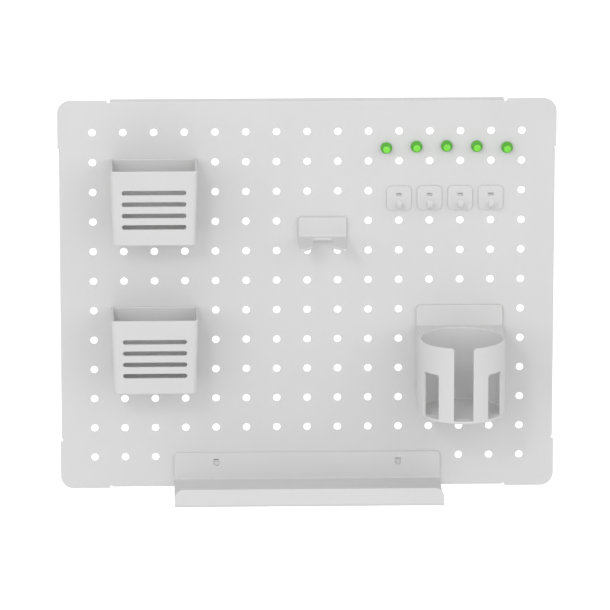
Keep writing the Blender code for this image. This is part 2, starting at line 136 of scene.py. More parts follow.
def offset_loop(points, distance):
    """A closed outline moved to the left of its direction, which is inwards if it runs anticlockwise."""
    moved = []
    count = len(points)
    for index in range(count):
        before = Vector(points[index - 1])
        here = Vector(points[index])
        after = Vector(points[(index + 1) % count])
        one = (here - before).normalized()
        two = (after - here).normalized()
        side_one = Vector((-one.y, one.x))
        side_two = Vector((-two.y, two.x))
        share = distance / max(1 + side_one.dot(side_two), 0.4)
        moved.append(tuple(here + (side_one + side_two) * share))
    return moved


def edge_profile(thickness, edge, steps):
    """Inset and depth of each ring across a sheet whose two edges are round."""
    front = []
    for step in range(steps + 1):
        angle = math.pi / 2 * step / steps
        front.append((edge * (1 - math.sin(angle)), edge * (1 - math.cos(angle))))
    return front + [(inset, thickness - depth) for inset, depth in reversed(front)]


def sheet_solid(outline, holes, thickness, edge, steps=2):
    """A flat sheet with round edges as a bmesh: outline anticlockwise, holes clockwise, depth along Z."""
    bm = bmesh.new()
    caps = ([], [])
    for loop in [outline, *holes]:
        rings = []
        for inset, depth in edge_profile(thickness, edge, steps):
            points = offset_loop(loop, inset) if inset > 0 else loop
            rings.append([bm.verts.new((u, v, depth)) for u, v in points])
        for near, far in zip(rings, rings[1:]):
            for index in range(len(near)):
                after = (index + 1) % len(near)
                bm.faces.new((near[index], near[after], far[after], far[index]))
        for ring, cap in ((rings[0], caps[0]), (rings[-1], caps[1])):
            for index in range(len(ring)):
                cap.append(bm.edges.get((ring[index], ring[(index + 1) % len(ring)])))
    for cap in caps:
        bmesh.ops.triangle_fill(bm, use_beauty=True, use_dissolve=False, edges=cap)
    return bm


def eased_edge(ease):
    """Depth and growth of each ring where a cutter rounds the edge of its opening."""
    return [(ease * (1 - math.cos(turn)), ease * (1 - math.sin(turn))) for turn in EASE_TURNS]


def cut_across(bm, axis, values):
    """Adds edge lines where a sheet will bend."""
    normal = Vector((0, 0, 0))
    normal[axis] = 1
    for value in values:
        geometry = bm.verts[:] + bm.edges[:] + bm.faces[:]
        bmesh.ops.bisect_plane(bm, geom=geometry, dist=1e-7, plane_co=normal * value, plane_no=normal)


def place(bm, mapping):
    """Moves every vertex through a mapping of (u, v, depth)."""
    for vert in bm.verts:
        vert.co = Vector(mapping(*vert.co))


def loft(bm, rings):
    """Closes a stack of equal rings into a solid, with a cap at each end."""
    loops = [[bm.verts.new(point) for point in ring] for ring in rings]
    for lower, upper in zip(loops, loops[1:]):
        for index in range(len(lower)):
            after = (index + 1) % len(lower)
            bm.faces.new((lower[index], lower[after], upper[after], upper[index]))
    bm.faces.new(list(reversed(loops[0])))
    bm.faces.new(loops[-1])


def make_piece(name, bm, material, sharp=40):
    """Turns a bmesh into a smooth-shaded object with even normals."""
    bmesh.ops.recalc_face_normals(bm, faces=bm.faces)
    mesh = bpy.data.meshes.new(name)
    bm.to_mesh(mesh)
    bm.free()
    piece = bpy.data.objects.new(name, mesh)
    bpy.context.scene.collection.objects.link(piece)
    if material:
        mesh.materials.append(material)
    mesh.shade_smooth()
    mesh.set_sharp_from_angle(angle=math.radians(sharp))
    return piece


def combine(piece, operation, draw):
    """Joins a drawn solid to a piece, or cuts it out, and keeps only the result."""
    bm = bmesh.new()
    draw(bm)
    tool = make_piece("tool", bm, None)
    modifier = piece.modifiers.new(operation.lower(), "BOOLEAN")
    modifier.operation = operation
    modifier.solver = "EXACT"
    modifier.object = tool
    depsgraph = bpy.context.evaluated_depsgraph_get()
    result = bpy.data.meshes.new_from_object(piece.evaluated_get(depsgraph))
    piece.modifiers.clear()
    old = piece.data
    piece.data = result
    bpy.data.meshes.remove(old)
    tool_mesh = tool.data
    bpy.data.objects.remove(tool)
    bpy.data.meshes.remove(tool_mesh)


def absorb(bm, other):
    """Adds another bmesh's shape to this one."""
    mesh = bpy.data.meshes.new("passing")
    bmesh.ops.recalc_face_normals(other, faces=other.faces)
    other.to_mesh(mesh)
    other.free()
    bm.from_mesh(mesh)
    bpy.data.meshes.remove(mesh)


def finish_piece(piece, body, nodes, sharp=40):
    """Smooths the shading and evens the normals, then hangs the piece on its body and hides the CAD parts it
    replaces.
    """
    piece.data.shade_smooth()
    piece.data.set_sharp_from_angle(angle=math.radians(sharp))
    weighted = piece.modifiers.new("even normals", "WEIGHTED_NORMAL")
    weighted.keep_sharp = True
    weighted.weight = 80
    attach(piece, body)
    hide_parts(*nodes)


class BendPath:
    """A line of straights and arcs in the Y-Z plane that a flat strip is bent along.

    The side the sheet's depth grows towards is to the left of the direction of travel.
    """

    def __init__(self, start, heading, moves):
        self.runs = []
        point = Vector(start)
        angle = math.radians(heading)
        along = 0.0
        for length, turn in moves:
            turn = math.radians(turn)
            self.runs.append((along, length, point.copy(), angle, turn))
            point = self.step(point, angle, length, turn, length)
            angle += turn
            along += length
        self.length = along

    @staticmethod
    def step(point, angle, length, turn, distance):
        """Where a run of one length and one turn has got to."""
        if abs(turn) < 1e-9:
            return point + Vector((math.cos(angle), math.sin(angle))) * distance
        radius = length / turn
        swept = turn * distance / length
        centre = point + Vector((-math.sin(angle), math.cos(angle))) * radius
        return centre + Vector((math.sin(angle + swept), -math.cos(angle + swept))) * radius

    def at(self, distance, depth):
        """The Y and Z of a point at a distance along the strip and a depth into it."""
        for along, length, point, angle, turn in reversed(self.runs):
            if distance >= along - 1e-9:
                break
        here = self.step(point, angle, length, turn, distance - along)
        facing = angle + turn * (distance - along) / length
        return here + Vector((-math.sin(facing), math.cos(facing))) * depth

    def lines(self, steps):
        """Where the strip needs edges so that its bends come out round."""
        values = []
        for along, length, _, _, turn in self.runs:
            if abs(turn) > 1e-9:
                values += [along + length * step / steps for step in range(steps + 1)]
        return values


def bent_strip(outline, holes, thickness, edge, path, steps=8):
    """A strip drawn flat, u across and v along, then bent along a path."""
    bm = sheet_solid(outline, holes, thickness, edge)
    cut_across(bm, 1, path.lines(steps))

    def bend(u, v, depth):
        y, z = path.at(v, depth)
        return (u, y, z)

    place(bm, bend)
    return bm


def arc_run(radius, turn):
    """Length and turn of a bend of one radius, for a BendPath."""
    return (abs(math.radians(turn)) * radius, turn)


# ------------------------------------------------------------------ materials

# A colour Mix node's sockets, which share their names with the other data types
MIX_A = 6
MIX_B = 7
MIX_RESULT = 2


def sockets(group, direction, wanted):
    """Adds named sockets to a shader group."""
    for name, kind, default in wanted:
        made = group.interface.new_socket(name=name, in_out=direction, socket_type=kind)
        if default is not None:
            made.default_value = default


def link(tree, source, output, target, socket):
    """Joins one node's output to another node's input."""
    tree.links.new(source.outputs[output], target.inputs[socket])


def node(tree, kind, **values):
    """Adds a node of a kind, with its settings."""
    made = tree.nodes.new(kind)
    for name, value in values.items():
        setattr(made, name, value)
    return made


def math_node(tree, operation, *values):
    """Adds a Math node; a value of None leaves its input to be linked."""
    made = node(tree, "ShaderNodeMath", operation=operation)
    for index, value in enumerate(values):
        if value is not None:
            made.inputs[index].default_value = value
    return made


def noise(tree, scale, detail, roughness=0.5):
    """Adds a noise texture."""
    made = node(tree, "ShaderNodeTexNoise")
    made.inputs["Scale"].default_value = scale
    made.inputs["Detail"].default_value = detail
    made.inputs["Roughness"].default_value = roughness
    return made


def grain_group():
    """Fine surface grain and slow mottling, in the piece's own coordinates.

    Outputs a colour between two tints, a roughness, and a height for the bump.
    """
    group = bpy.data.node_groups.new("surface_grain", "ShaderNodeTree")
    sockets(group, "INPUT", [
        ("Light Tint", "NodeSocketColor", (0.8, 0.8, 0.8, 1)),
        ("Dark Tint", "NodeSocketColor", (0.7, 0.7, 0.7, 1)),
        ("Grain Scale", "NodeSocketFloat", 900.0),
        ("Mottle Scale", "NodeSocketFloat", 12.0),
        ("Roughness Low", "NodeSocketFloat", 0.4),
        ("Roughness High", "NodeSocketFloat", 0.55),
    ])
    sockets(group, "OUTPUT", [
        ("Color", "NodeSocketColor", None),
        ("Roughness", "NodeSocketFloat", None),
        ("Height", "NodeSocketFloat", None),
    ])
    entry = node(group, "NodeGroupInput")
    leave = node(group, "NodeGroupOutput")
    place_in = node(group, "ShaderNodeTexCoord")
    grain = noise(group, 900, 2.0, 0.55)
    mottle = noise(group, 12, 4.0, 0.6)
    link(group, place_in, "Object", grain, "Vector")
    link(group, place_in, "Object", mottle, "Vector")
    link(group, entry, "Grain Scale", grain, "Scale")
    link(group, entry, "Mottle Scale", mottle, "Scale")
    tint = node(group, "ShaderNodeMix", data_type="RGBA")
    spread = node(group, "ShaderNodeMapRange")
    spread.inputs["From Min"].default_value = 0.30
    spread.inputs["From Max"].default_value = 0.70
    link(group, mottle, "Fac", spread, "Value")
    link(group, spread, "Result", tint, "Factor")
    group.links.new(entry.outputs["Light Tint"], tint.inputs[MIX_A])
    group.links.new(entry.outputs["Dark Tint"], tint.inputs[MIX_B])
    group.links.new(tint.outputs[MIX_RESULT], leave.inputs["Color"])
    rough = node(group, "ShaderNodeMapRange")
    mixed = math_node(group, "MULTIPLY_ADD", None, 0.35, None)
    link(group, grain, "Fac", mixed, 0)
    soft = math_node(group, "MULTIPLY", None, 0.65)
    link(group, mottle, "Fac", soft, 0)
    group.links.new(soft.outputs[0], mixed.inputs[2])
    link(group, mixed, 0, rough, "Value")
    rough.inputs["From Min"].default_value = 0.3
    rough.inputs["From Max"].default_value = 0.7
    link(group, entry, "Roughness Low", rough, "To Min")
    link(group, entry, "Roughness High", rough, "To Max")
    link(group, rough, "Result", leave, "Roughness")
    link(group, grain, "Fac", leave, "Height")
    return group


def scratch_group():
    """Sparse hairline scratches as a mask, stretched along one direction and broken up."""
    group = bpy.data.node_groups.new("hairline_scratches", "ShaderNodeTree")
    sockets(group, "INPUT", [
        ("Scale", "NodeSocketFloat", 60.0),
        ("Stretch", "NodeSocketVector", (1.0, 1.0, 14.0)),
        ("Amount", "NodeSocketFloat", 0.5),
    ])
    sockets(group, "OUTPUT", [("Mask", "NodeSocketFloat", None)])
    entry = node(group, "NodeGroupInput")
    leave = node(group, "NodeGroupOutput")
    place_in = node(group, "ShaderNodeTexCoord")
    stretch = node(group, "ShaderNodeVectorMath", operation="MULTIPLY")
    link(group, place_in, "Object", stretch, 0)
    group.links.new(entry.outputs["Stretch"], stretch.inputs[1])
    lines = noise(group, 60, 3.0, 0.65)
    breaks = noise(group, 25, 2.0)
    group.links.new(stretch.outputs[0], lines.inputs["Vector"])
    link(group, place_in, "Object", breaks, "Vector")
    link(group, entry, "Scale", lines, "Scale")
    ridge = node(group, "ShaderNodeMapRange")
    ridge.inputs["From Min"].default_value = 0.66
    ridge.inputs["From Max"].default_value = 0.74
    link(group, lines, "Fac", ridge, "Value")
    patch = node(group, "ShaderNodeMapRange")
    patch.inputs["From Min"].default_value = 0.45
    patch.inputs["From Max"].default_value = 0.65
    link(group, breaks, "Fac", patch, "Value")
    both = math_node(group, "MULTIPLY", None, None)
    link(group, ridge, "Result", both, 0)
    link(group, patch, "Result", both, 1)
    scaled = math_node(group, "MULTIPLY", None, None)
    link(group, both, 0, scaled, 0)
    group.links.new(entry.outputs["Amount"], scaled.inputs[1])
    group.links.new(scaled.outputs[0], leave.inputs["Mask"])
    return group


GRAIN = grain_group()
SCRATCHES = scratch_group()


def grained(name, light, dark, grain_scale, mottle_scale, rough, bump_height, bump_strength):
    """A Principled material whose colour, roughness and bump come from the grain group."""
    material = bpy.data.materials.new(name)
    material.use_nodes = True
    tree = material.node_tree
    shader = tree.nodes["Principled BSDF"]
    grain = node(tree, "ShaderNodeGroup", node_tree=GRAIN)
    grain.inputs["Light Tint"].default_value = (*light, 1)
    grain.inputs["Dark Tint"].default_value = (*dark, 1)
    grain.inputs["Grain Scale"].default_value = grain_scale
    grain.inputs["Mottle Scale"].default_value = mottle_scale
    grain.inputs["Roughness Low"].default_value = rough[0]
    grain.inputs["Roughness High"].default_value = rough[1]
    bump = node(tree, "ShaderNodeBump")
    bump.inputs["Distance"].default_value = bump_height
    bump.inputs["Strength"].default_value = bump_strength
    link(tree, grain, "Height", bump, "Height")
    link(tree, grain, "Color", shader, "Base Color")
    link(tree, grain, "Roughness", shader, "Roughness")
    link(tree, bump, "Normal", shader, "Normal")
    return material, shader, grain


def powder_coat():
    """White powder coat on steel: a fine orange peel under a soft sheen."""
    material, shader, _ = grained(
        "white_powder_coat", light=(0.668, 0.668, 0.667), dark=(0.644, 0.644, 0.645),
        grain_scale=1500, mottle_scale=9, rough=(0.40, 0.50), bump_height=0.05 * MM, bump_strength=0.35)
    shader.inputs["Specular IOR Level"].default_value = 0.4
    return material


def white_moulding():
    """Matte white moulded plastic with a faint spark-eroded texture."""
    material, shader, _ = grained(
        "white_moulded_plastic", light=(0.655, 0.655, 0.653), dark=(0.634, 0.634, 0.634),
        grain_scale=2600, mottle_scale=16, rough=(0.42, 0.56), bump_height=0.02 * MM, bump_strength=0.3)
    shader.inputs["IOR"].default_value = 1.49
    return material


# Distances from the panel's front between which painted shade darkens the green towards the knob's foot
KNOB_SHADE_START = 8.25 * MM
KNOB_SHADE_FULL = 7.3 * MM


def green_plastic():
    """Bright green glossy plastic, with painted shade that darkens it from the knob's crown towards its foot.
    """
    material, shader, grain = grained(
        "green_gloss_plastic", light=(0.22, 0.80, 0.050), dark=(0.18, 0.72, 0.042),
        grain_scale=1800, mottle_scale=90, rough=(0.14, 0.24), bump_height=0.01 * MM, bump_strength=0.2)
    tree = material.node_tree
    place_in = node(tree, "ShaderNodeTexCoord")
    split = node(tree, "ShaderNodeSeparateXYZ")
    link(tree, place_in, "Object", split, "Vector")
    # painted shade mask: 0 at the crown, rising to 0.7 towards the foot, where the head shades the waist
    inward = node(tree, "ShaderNodeMapRange")
    inward.inputs["From Min"].default_value = PANEL_FRONT - KNOB_SHADE_START
    inward.inputs["From Max"].default_value = PANEL_FRONT - KNOB_SHADE_FULL
    inward.inputs["To Max"].default_value = 0.7
    link(tree, split, "Y", inward, "Value")
    depth = node(tree, "ShaderNodeMix", data_type="RGBA")
    # painted shade: a dark green mixed in towards the foot, standing in for the shade under the head
    depth.inputs[MIX_B].default_value = (0.035, 0.27, 0.010, 1)
    link(tree, inward, "Result", depth, "Factor")
    tree.links.new(grain.outputs["Color"], depth.inputs[MIX_A])
    tree.links.new(depth.outputs[MIX_RESULT], shader.inputs["Base Color"])
    add_scratches(tree, grain, shader, scale=240, amount=0.3)
    shader.inputs["Coat Weight"].default_value = 0.25
    shader.inputs["Coat Roughness"].default_value = 0.06
    shader.inputs["IOR"].default_value = 1.5
    return material


def add_scratches(tree, grain, shader, scale, amount):
    """Hairline scratches that roughen the surface where they run."""
    scratch = node(tree, "ShaderNodeGroup", node_tree=SCRATCHES)
    scratch.inputs["Scale"].default_value = scale
    scratch.inputs["Amount"].default_value = amount
    add = math_node(tree, "ADD", None, None)
    link(tree, grain, "Roughness", add, 0)
    link(tree, scratch, "Mask", add, 1)
    link(tree, add, 0, shader, "Roughness")


def nickel():
    """Bright nickel plating with hairline scratches."""
    material, shader, grain = grained(
        "nickel_plate", light=(0.68, 0.66, 0.62), dark=(0.60, 0.585, 0.55),
        grain_scale=2400, mottle_scale=120, rough=(0.16, 0.28), bump_height=0.01 * MM, bump_strength=0.25)
    add_scratches(material.node_tree, grain, shader, scale=420, amount=0.35)
    shader.inputs["Metallic"].default_value = 1.0
    return material


# What the floor gives back to bounced light, and the light it adds for the camera
FLOOR_BOUNCE = 0.9
FLOOR_LIFT = 0.45


def pale_floor():
    """The studio floor: plain, pale and matte, and dimmer to bounced light than to the camera."""
    material, shader, grain = grained(
        "studio_floor", light=(0.94, 0.94, 0.94), dark=(0.93, 0.93, 0.93),
        grain_scale=40, mottle_scale=0.6, rough=(0.8, 0.9), bump_height=0.1 * MM, bump_strength=0.05)
    tree = material.node_tree
    path = node(tree, "ShaderNodeLightPath")
    choice = node(tree, "ShaderNodeMix", data_type="RGBA")
    choice.inputs[MIX_A].default_value = (FLOOR_BOUNCE, FLOOR_BOUNCE, FLOOR_BOUNCE, 1)
    link(tree, path, "Is Camera Ray", choice, "Factor")
    tree.links.new(grain.outputs["Color"], choice.inputs[MIX_B])
    tree.links.new(choice.outputs[MIX_RESULT], shader.inputs["Base Color"])
    lift = math_node(tree, "MULTIPLY", None, FLOOR_LIFT)
    link(tree, path, "Is Camera Ray", lift, 0)
    link(tree, lift, 0, shader, "Emission Strength")
    return material


COAT = powder_coat()
MOULDING = white_moulding()
GREEN = green_plastic()
NICKEL = nickel()


# ------------------------------------------------------------------ panel

def panel_blank():
    """The flat blank: round corners, relief notches, and a flap for each bent edge."""
    half_w = (panel_high[0] - panel_low[0]) / 2
    half_h = (panel_high[2] - panel_low[2]) / 2
    flap = flange_length()
    bend_h = half_h - CORNER_FLAT
    bend_w = half_w - CORNER_FLAT
    start = BEND_RADIUS + FLANGE_INSET
    round_in = NOTCH_WIDTH / 2
    corner = [(half_w - start + flap, bend_h - NOTCH_WIDTH)]
    corner += arc((half_w - NOTCH_DEPTH + round_in, bend_h - round_in), round_in, 270, 90, 8)
    corner += arc((half_w - FLAP_CORNER, bend_h + FLAP_CORNER), FLAP_CORNER, 270, 360, 4)
    corner += arc((half_w - CORNER_RADIUS, half_h - CORNER_RADIUS), CORNER_RADIUS, 0, 90, 20)
    corner += arc((bend_w + FLAP_CORNER, half_h - FLAP_CORNER), FLAP_CORNER, 90, 180, 4)
    corner += arc((bend_w - round_in, half_h - NOTCH_DEPTH + round_in), round_in, 0, -180, 8)
    corner += [(bend_w - NOTCH_WIDTH, half_h - start + flap)]
    outline = list(corner)
    outline += [(-u, v) for u, v in reversed(corner)]
    outline += [(-u, -v) for u, v in corner]
    outline += [(u, -v) for u, v in reversed(corner)]
    return outline


def flange_length():
    """Flat length of a flange from where its bend starts."""
    return BEND_RADIUS * math.pi / 2 + (WALL_Y - PANEL_FRONT) - BEND_RADIUS


def fold_back(along, depth):
    """How far out and how far back a point of the flap ends up."""
    quarter = BEND_RADIUS * math.pi / 2
    if along < quarter:
        angle = along / BEND_RADIUS
        reach = BEND_RADIUS - depth
        return reach * math.sin(angle), BEND_RADIUS - reach * math.cos(angle)
    return BEND_RADIUS - depth, BEND_RADIUS + along - quarter


def make_panel():
    """The perforated sheet with its four edges bent back to the wall."""
    holes = []
    for row in range(ROWS):
        for column in range(COLUMNS):
            centre = (column_x(column) - GRID_X, row_z(row) - GRID_Z)
            holes.append(arc(centre, HOLE_RADIUS, 0, 360 / HOLE_SIDES - 360, HOLE_SIDES - 1))
    bm = sheet_solid(panel_blank(), holes, SHEET, SHEET_EDGE)
    half_w = (panel_high[0] - panel_low[0]) / 2
    half_h = (panel_high[2] - panel_low[2]) / 2
    start_u = half_w - FLANGE_INSET - BEND_RADIUS
    start_v = half_h - FLANGE_INSET - BEND_RADIUS
    run_u = half_w - CORNER_FLAT - NOTCH_WIDTH / 2
    run_v = half_h - CORNER_FLAT - NOTCH_WIDTH / 2
    quarter = BEND_RADIUS * math.pi / 2
    for axis, start in ((0, start_u), (1, start_v)):
        values = [start + quarter * step / BEND_STEPS for step in range(BEND_STEPS + 1)]
        cut_across(bm, axis, values + [-value for value in values])

    def bend(u, v, depth):
        across, up, back = u, v, depth
        if abs(v) > start_v and abs(u) < run_u:
            out, back = fold_back(abs(v) - start_v, depth)
            up = math.copysign(start_v + out, v)
        elif abs(u) > start_u and abs(v) < run_v:
            out, back = fold_back(abs(u) - start_u, depth)
            across = math.copysign(start_u + out, u)
        return (GRID_X + across, PANEL_FRONT + back, GRID_Z + up)

    place(bm, bend)
    panel = make_piece("perforated_panel", bm, COAT)
    finish_piece(panel, "panel", ["panel"])


# ------------------------------------------------------------------ tabs

def tab_path(root_y, top_z):
    """From inside the plate, through the hole and down behind the panel; depth goes down."""
    radius = TAB_THICKNESS + TAB_EDGE
    leg_back = PANEL_BACK + GAP + TAB_THICKNESS
    straight = leg_back - radius - root_y
    leg = TAB_THICKNESS + TAB_LEG - radius
    moves = [(straight, 0), arc_run(radius, -90), (leg, 0)]
    return BendPath((root_y, top_z), 0, moves)


def draw_tab(column, row, root_y):
    """One hook tab for a hole."""
    top = row_z(row) - TAB_DROP + TAB_THICKNESS
    path = tab_path(root_y, top)
    half = TAB_WIDTH / 2
    outline = rounded_rectangle(-half, half, 0, path.length, (0, 0, TAB_TIP, TAB_TIP), 5)
    bm = sheet_solid(outline, [], TAB_THICKNESS, TAB_EDGE)
    cut_across(bm, 1, path.lines(BEND_STEPS))

    def bend(u, v, depth):
        y, z = path.at(v, -depth)
        return (column_x(column) + u, y, z)

    place(bm, bend)
    return bm


def add_tabs(piece, columns, row, root_y):
    """Joins a hook tab to the back of a piece for each of its columns."""
    for column in columns:
        combine(piece, "UNION", lambda bm: absorb(bm, draw_tab(column, row, root_y)))


# ------------------------------------------------------------------ bins

BIN_WALL = 2.0 * MM
BIN_CORNER = 4.0 * MM
BIN_BACK_CORNER = 1.2 * MM
BIN_LEAST_CORNER = 0.4 * MM
BIN_FOOT_ROUND = 1.2 * MM
BIN_INNER_ROUND = 1.5 * MM
BIN_DRAFT = 2.0 * MM
RIM_ROUND = 0.9 * MM
BIN_SLOTS = 4
SLOT_LENGTH = 53 * MM
SLOT_HEIGHT = 3.75 * MM
SLOT_PITCH = 9.75 * MM
FIRST_SLOT = 18.3 * MM
SLOT_EASE = 0.45 * MM


def bin_stations(rim, base):
    """Height and inset of each ring of a bin: up the outside, over the rim, down the inside."""
    foot = BIN_FOOT_ROUND
    inner = BIN_WALL + BIN_INNER_ROUND
    section = arc((foot, base + foot), foot, 270, 180, 4)
    section += arc((RIM_ROUND, rim - RIM_ROUND), RIM_ROUND, 180, 90, 5)
    section += arc((BIN_WALL - RIM_ROUND, rim - RIM_ROUND), RIM_ROUND, 90, 0, 5)
    section += arc((inner, base + inner), BIN_INNER_ROUND, 180, 270, 5)
    return [(z, inset) for inset, z in section]


def make_bin(name, node_name, column, row):
    """A tapered open box with a round rim and four slots with eased edges."""
    low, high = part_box(node_name)
    x = column_x(column)
    base, rim = low[2], high[2]
    height = rim - base
    half_rim = (high[0] - low[0]) / 2
    depth_rim = PLATE_BACK - low[1]

    def depth_at(z):
        return depth_rim - BIN_DRAFT * (1 - (z - base) / height)

    def ring(z, inset):
        half = half_rim - BIN_DRAFT * (1 - (z - base) / height) - inset
        front = max(BIN_CORNER - inset, BIN_LEAST_CORNER)
        back = max(BIN_BACK_CORNER - inset / 2, BIN_LEAST_CORNER)
        front_y = PLATE_BACK - depth_at(z) + inset
        radii = (front, front, back, back)
        outline = rounded_rectangle(x - half, x + half, front_y, PLATE_BACK - inset, radii, 8)
        return [(u, v, z) for u, v in outline]

    bm = bmesh.new()
    loft(bm, [ring(z, inset) for z, inset in bin_stations(rim, base)])
    piece = make_piece(name, bm, MOULDING)

    def draw_slots(bm):
        for number in range(BIN_SLOTS):
            z = rim - FIRST_SLOT - number * SLOT_PITCH
            front = PLATE_BACK - depth_at(z)
            rings = []
            steps = [(-CUT_SPARE, SLOT_EASE), (0, SLOT_EASE), *eased_edge(SLOT_EASE)]
            steps += [(BIN_WALL - SLOT_EASE, 0), (BIN_WALL, SLOT_EASE), (BIN_WALL + CUT_SPARE, SLOT_EASE)]
            for depth, grow in steps:
                radius = SLOT_HEIGHT / 2 + grow
                reach = SLOT_LENGTH / 2 - SLOT_HEIGHT / 2
                outline = arc((x + reach, z), radius, -90, 90, 12)
                outline += arc((x - reach, z), radius, 90, 270, 12)
                rings.append([(u, front + depth, v) for u, v in outline])
            loft(bm, rings)

    combine(piece, "DIFFERENCE", draw_slots)
    add_tabs(piece, (column - 1, column + 1), row, PLATE_BACK - TAB_ROOT)
    finish_piece(piece, node_name, [node_name])


# ------------------------------------------------------------------ stamped steel

LANCE_WIDTH = 4.6 * MM
LANCE_CORNER = 0.2 * MM


def lance_hole(x, near, far, end):
    """The window that a lanced tab leaves, clockwise, in a strip's own coordinates.

    The far corners have the radius end.
    """
    half = LANCE_WIDTH / 2
    radii = (LANCE_CORNER, LANCE_CORNER, end, end)
    return list(reversed(rounded_rectangle(x - half, x + half, near, far, radii, 6)))


SHELF_SHEET = 1.2 * MM
SHELF_BEND = 1.3 * MM
SHELF_PLATE = 24.4 * MM
SHELF_LIP = 15.5 * MM
SHELF_TOP_CORNER = 4.0 * MM
SHELF_LIP_CORNER = 7.5 * MM
SHELF_EDGE = 0.22 * MM
SHELF_LANCE_END = 8.0 * MM
SHELF_LANCE_ROUND = 1.8 * MM


def make_shelf(row, columns):
    """One steel strip: back plate, floor and front lip, folded with a small inside radius."""
    low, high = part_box("shelf")
    top = high[2]
    reach = PLATE_BACK - low[1]
    down = SHELF_PLATE - SHELF_SHEET - SHELF_BEND
    forward = reach - 2 * SHELF_SHEET - 2 * SHELF_BEND
    up = SHELF_LIP - SHELF_SHEET - SHELF_BEND
    fold = arc_run(SHELF_BEND, -90)
    path = BendPath((PLATE_BACK - SHELF_SHEET, top), -90, [(down, 0), fold, (forward, 0), fold, (up, 0)])
    radii = (SHELF_TOP_CORNER, SHELF_TOP_CORNER, SHELF_LIP_CORNER, SHELF_LIP_CORNER)
    outline = rounded_rectangle(low[0], high[0], 0, path.length, radii, 12)
    near = top - row_z(row) + TAB_DROP
    far = top - row_z(row) + SHELF_LANCE_END
    holes = [lance_hole(column_x(column), near, far, SHELF_LANCE_ROUND) for column in columns]
    piece = make_piece("shelf_tray", bent_strip(outline, holes, SHELF_SHEET, SHELF_EDGE, path), COAT)
    add_tabs(piece, columns, row, PLATE_BACK - SHELF_SHEET / 2)
    finish_piece(piece, "shelf", ["shelf"])


HOOK_SHEET = 1.0 * MM
HOOK_EDGE = 0.2 * MM
HOOK_CORNER = 3.75 * MM
HOOK_LANCE_END = 4.1 * MM
HOOK_LANCE_ROUND = 0.4 * MM
J_WIDTH = 3.8 * MM
J_RADIUS = 5.0 * MM
J_START = 8.0 * MM
J_RISE = 2.9 * MM
J_TIP = 1.7 * MM
J_ROOT = 1.2 * MM
J_SKIN = 0.06 * MM


def make_small_hook(number, column, row):
    """A rounded plate with a tab behind and a J strip that curls forward and up."""
    node_name = f"small_hook_{number}"
    low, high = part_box(node_name)
    x = column_x(column)
    half = (high[0] - low[0]) / 2
    front = PLATE_BACK - HOOK_SHEET
    window = lance_hole(0, TAB_DROP, HOOK_LANCE_END, HOOK_LANCE_ROUND)
    above = high[2] - row_z(row)
    outline = rounded_rectangle(-half, half, -above, 2 * half - above, (HOOK_CORNER,) * 4, 10)
    bm = sheet_solid(outline, [window], HOOK_SHEET, HOOK_EDGE)
    place(bm, lambda u, v, depth: (x + u, front + depth, row_z(row) - v))
    piece = make_piece(f"small_hook_plate_{number}", bm, COAT)
    start = (front + J_SKIN, row_z(row) - J_START + J_ROOT)
    path = BendPath(start, -90, [(J_ROOT, 0), arc_run(J_RADIUS + J_SKIN, -180), (J_RISE, 0)])
    strip = rounded_rectangle(-J_WIDTH / 2, J_WIDTH / 2, 0, path.length, (0, 0, J_TIP, J_TIP), 8)
    hook = sheet_solid(strip, [], HOOK_SHEET - 2 * J_SKIN, HOOK_EDGE)
    cut_across(hook, 1, path.lines(20))

    def bend(u, v, depth):
        y, z = path.at(v, depth)
        return (x + u, y, z)

    place(hook, bend)
    combine(piece, "UNION", lambda bm: absorb(bm, hook))
    add_tabs(piece, (column,), row, PLATE_BACK - HOOK_SHEET / 2)
    finish_piece(piece, node_name, [node_name])


# ------------------------------------------------------------------ tool holder

FORK_PLATE = 2.5 * MM
FORK_ARM = 2.5 * MM
FORK_FILLET = 2.0 * MM
FILLET_GAP = 0.05 * MM
FILLET_FOOT = 1.5 * MM
FORK_OVERLAP = 1.0 * MM
FORK_CORNER = 2.0 * MM
FORK_ROOT = 0.3 * MM
FORK_TIP = 3.0 * MM
FORK_STRAIGHT = 4.5 * MM
NOTCH_HALF = 8.3 * MM
NOTCH_CORNER = 5.0 * MM
NOTCH_START = 6.5 * MM
FLARE_START = 32.5 * MM
FLARE_EASE = 0.6 * MM
FORK_EDGE = 0.6 * MM


def fork_outline(half, reach):
    """Seen from above, across and forward: two prongs round a U notch with a flared mouth."""
    right = [
        (half, FORK_ROOT), (half, reach - FORK_STRAIGHT),
        *arc((half - FORK_TIP, reach - FORK_TIP), FORK_TIP, 0, 100, 8),
        *arc((NOTCH_HALF + FORK_TIP, FLARE_START - FLARE_EASE), FORK_TIP, 140, 180, 5),
    ]
    corner = (NOTCH_HALF - NOTCH_CORNER, NOTCH_START + NOTCH_CORNER)
    notch = arc(corner, NOTCH_CORNER, 0, -90, 12)
    notch += [(-u, v) for u, v in reversed(notch)]
    left = [(-u, v) for u, v in reversed(right)]
    return right + notch + left


